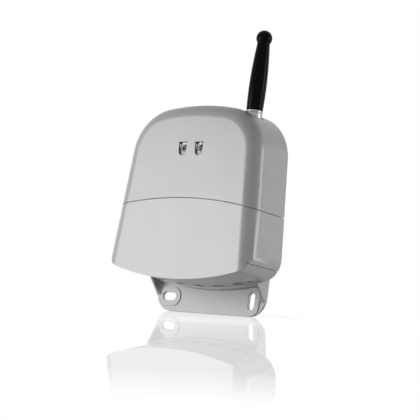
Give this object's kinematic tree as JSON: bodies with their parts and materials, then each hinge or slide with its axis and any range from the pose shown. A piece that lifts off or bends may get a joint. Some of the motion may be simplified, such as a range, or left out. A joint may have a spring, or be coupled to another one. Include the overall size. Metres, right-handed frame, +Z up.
{
  "type": "radio receiver module",
  "caption": "Outdoor radio receiver in a two-cover tapered housing on a cast wall bracket, with a bayonet stub antenna and status lamp windows.",
  "frame": {"origin": "on the bracket's wall face, midway between the two fixing slots", "axes": "+Z up along the housing, +X to the right seen from the front, +Y into the wall"},
  "size_m": [0.1486, 0.054, 0.2319],
  "materials": {
    "bracket_metal": "bright satin casting",
    "housing_plastic": "fine satin moulding",
    "seal_rubber": "soft matt",
    "antenna_rubber": "satin",
    "plated_metal": "plated",
    "screw_steel": "plain",
    "board_laminate": "glossy solder mask",
    "terminal_plastic": "moulded",
    "relay_plastic": "moulded",
    "core_steel": "varnished sheets",
    "coil_tape": "wound tape",
    "clear_glass": "clear",
    "can_sleeve": "shrunk sleeve",
    "chip_plastic": "moulded",
    "lamp_amber": "clear epoxy",
    "mirror_metal": "vacuum plated",
    "clear_lens": "clear",
    "insulator_plastic": "turned",
    "lead_jacket": "smooth",
    "contact_brass": "gilt",
    "button_plastic": "moulded"
  },
  "bodies": {
    "root": {"wall_bracket": "bracket_metal", "bracket_screws": "screw_steel", "rear_base": "housing_plastic", "housing_seal": "seal_rubber", "upper_cover": "housing_plastic", "upper_cover_screws": "screw_steel", "lower_cover_screws": "screw_steel", "cable_grommet_1": "seal_rubber", "cable_grommet_2": "seal_rubber", "cable_grommet_3": "seal_rubber", "cable_grommet_4": "seal_rubber", "cable_grommet_5": "seal_rubber", "circuit_board": "board_laminate", "board_screws": "screw_steel", "terminal_block_1": "terminal_plastic", "terminal_block_2": "terminal_plastic", "terminal_block_3": "terminal_plastic", "terminal_screws": "screw_steel", "relay_1": "relay_plastic", "relay_2": "relay_plastic", "transformer_core": "core_steel", "transformer_coil": "coil_tape", "fuse_glass": "clear_glass", "fuse_caps": "plated_metal", "fuse_clips": "plated_metal", "smoothing_capacitor": "can_sleeve", "controller_chip": "chip_plastic", "radio_module_board": "board_laminate", "radio_shield": "plated_metal", "learn_button_body_1": "chip_plastic", "learn_button_body_2": "chip_plastic", "lamp_spacer_left": "chip_plastic", "lamp_spacer_right": "chip_plastic", "status_lamp_left": "lamp_amber", "status_lamp_right": "lamp_amber", "lamp_reflector_left": "mirror_metal", "lamp_reflector_right": "mirror_metal", "window_lens_left": "clear_lens", "window_lens_right": "clear_lens", "antenna_socket": "plated_metal", "socket_gasket": "seal_rubber", "socket_nut": "plated_metal", "socket_insulator": "insulator_plastic", "antenna_lead": "lead_jacket", "antenna_lead_plug": "contact_brass"},
    "lower_cover": {"lower_cover": "housing_plastic"},
    "antenna": {"antenna_stub": "antenna_rubber", "antenna_core": "plated_metal", "antenna_pin": "contact_brass"},
    "antenna_coupling": {"antenna_coupling": "plated_metal"},
    "learn_button_1": {"learn_button_cap_1": "button_plastic"},
    "learn_button_2": {"learn_button_cap_2": "button_plastic"}
  },
  "joints": [
    {"name": "lower_cover_pull", "type": "slide", "parent": "root", "child": "lower_cover", "axis": [0, -1, 0], "range_m": [0, 0.06]},
    {"name": "antenna_turn", "type": "hinge", "parent": "root", "child": "antenna", "pos_m": [0.0414, -0.0299, 0.1525], "axis": [0, 0, 1], "continuous": true},
    {"name": "antenna_coupling_turn", "type": "hinge", "parent": "root", "child": "antenna_coupling", "pos_m": [0.0414, -0.0299, 0.1475], "axis": [0, 0, 1], "range_deg": [0, 90]},
    {"name": "learn_button_1_press", "type": "slide", "parent": "root", "child": "learn_button_1", "axis": [0, 1, 0], "range_m": [0, 0.0003], "stiffness_N_per_m": 4000},
    {"name": "learn_button_2_press", "type": "slide", "parent": "root", "child": "learn_button_2", "axis": [0, 1, 0], "range_m": [0, 0.0003], "stiffness_N_per_m": 4000}
  ]
}
